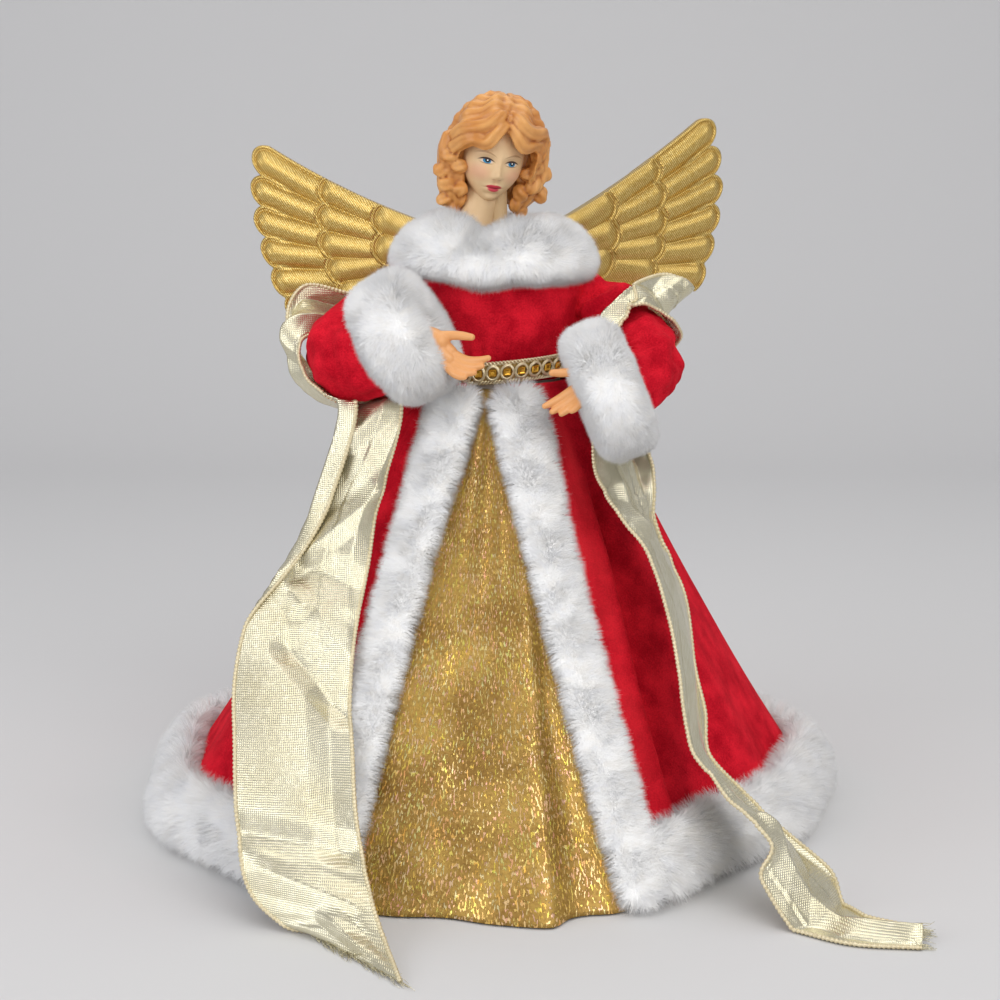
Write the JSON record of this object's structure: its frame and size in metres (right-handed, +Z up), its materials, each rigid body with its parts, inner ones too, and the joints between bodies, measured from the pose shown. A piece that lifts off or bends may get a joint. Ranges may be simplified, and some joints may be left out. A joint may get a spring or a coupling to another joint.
{
  "type": "angel tree topper",
  "caption": "Angel doll tree topper: cone skirt in red velvet and gold cloth, white fur trim, moulded head and hands, feathered gold wings and a long ribbon sash.",
  "frame": {"origin": "on the table, on the axis of the support cone", "axes": "+Z up along the cone's axis, -Y the way the angel faces, +X to the viewer's right"},
  "size_m": [0.3072, 0.3592, 0.3032],
  "materials": {
    "cone_board": "plain unfinished board",
    "gold_brocade": "metallic gold knit with glitter thread",
    "red_velvet": "crushed velvet pile",
    "white_fur": "plush faux fur pile",
    "peg_wood": "bare turned dowel",
    "stuffing": "firm wadding",
    "arm_wire": "bare soft wire",
    "gold_braid": "metallic braid with square sequins",
    "doll_face": "matt painted vinyl",
    "doll_hair": "moulded and painted vinyl",
    "doll_hand": "smooth moulded vinyl",
    "wing_board": "cloth-covered board",
    "gold_lame": "padded gold lame, stitched",
    "champagne_ribbon": "sheer metallic ribbon with wired edges"
  },
  "bodies": {
    "dress": {"support_cone": "cone_board", "gold_underskirt": "gold_brocade", "red_overskirt": "red_velvet", "hem_trim": "white_fur", "left_front_trim": "white_fur", "right_front_trim": "white_fur", "bodice": "red_velvet", "neck_peg": "peg_wood", "torso_form": "stuffing", "shoulder_wire": "arm_wire", "waist_belt": "gold_braid", "fur_collar": "white_fur", "wing_plate": "wing_board", "sash_left_tail": "champagne_ribbon", "sash_back": "champagne_ribbon", "sash_right_tail": "champagne_ribbon"},
    "head": {"head": "doll_face", "hair": "doll_hair"},
    "left_arm": {"left_sleeve": "red_velvet", "left_cuff": "white_fur", "left_arm_wire": "arm_wire", "sash_left_loop": "champagne_ribbon"},
    "left_hand": {"left_hand": "doll_hand"},
    "right_arm": {"right_sleeve": "red_velvet", "right_cuff": "white_fur", "right_arm_wire": "arm_wire", "sash_right_loop": "champagne_ribbon"},
    "right_hand": {"right_hand": "doll_hand"},
    "left_wing": {"left_wing": "gold_lame"},
    "right_wing": {"right_wing": "gold_lame"}
  },
  "joints": [
    {"name": "head_turn", "type": "hinge", "parent": "dress", "child": "head", "pos_m": [-0.001, -0.005, 0.255], "axis": [0, 0, 1], "range_deg": [-30, 30]},
    {"name": "left_arm_swing", "type": "hinge", "parent": "dress", "child": "left_arm", "pos_m": [-0.04, 0.004, 0.212], "axis": [0, 0, -1], "range_deg": [0, 20], "deforming": ["sash_left_loop"]},
    {"name": "right_arm_swing", "type": "hinge", "parent": "dress", "child": "right_arm", "pos_m": [0.04, 0.004, 0.212], "axis": [0, 0, 1], "range_deg": [0, 20], "deforming": ["sash_right_loop"]},
    {"name": "left_hand_twist", "type": "hinge", "parent": "left_arm", "child": "left_hand", "pos_m": [-0.038, -0.047, 0.206], "axis": [0.8436, -0.4867, 0.2271], "range_deg": [-30, 30]},
    {"name": "right_hand_twist", "type": "hinge", "parent": "right_arm", "child": "right_hand", "pos_m": [0.041, -0.053, 0.185], "axis": [-0.6192, -0.688, -0.3784], "range_deg": [-30, 30]},
    {"name": "left_wing_fold", "type": "hinge", "parent": "dress", "child": "left_wing", "pos_m": [-0.0128, 0.03448, 0.235], "axis": [0, 0, -1], "range_deg": [-8, 30]},
    {"name": "right_wing_fold", "type": "hinge", "parent": "dress", "child": "right_wing", "pos_m": [0.0128, 0.03448, 0.235], "axis": [0, 0, 1], "range_deg": [-8, 30]}
  ]
}
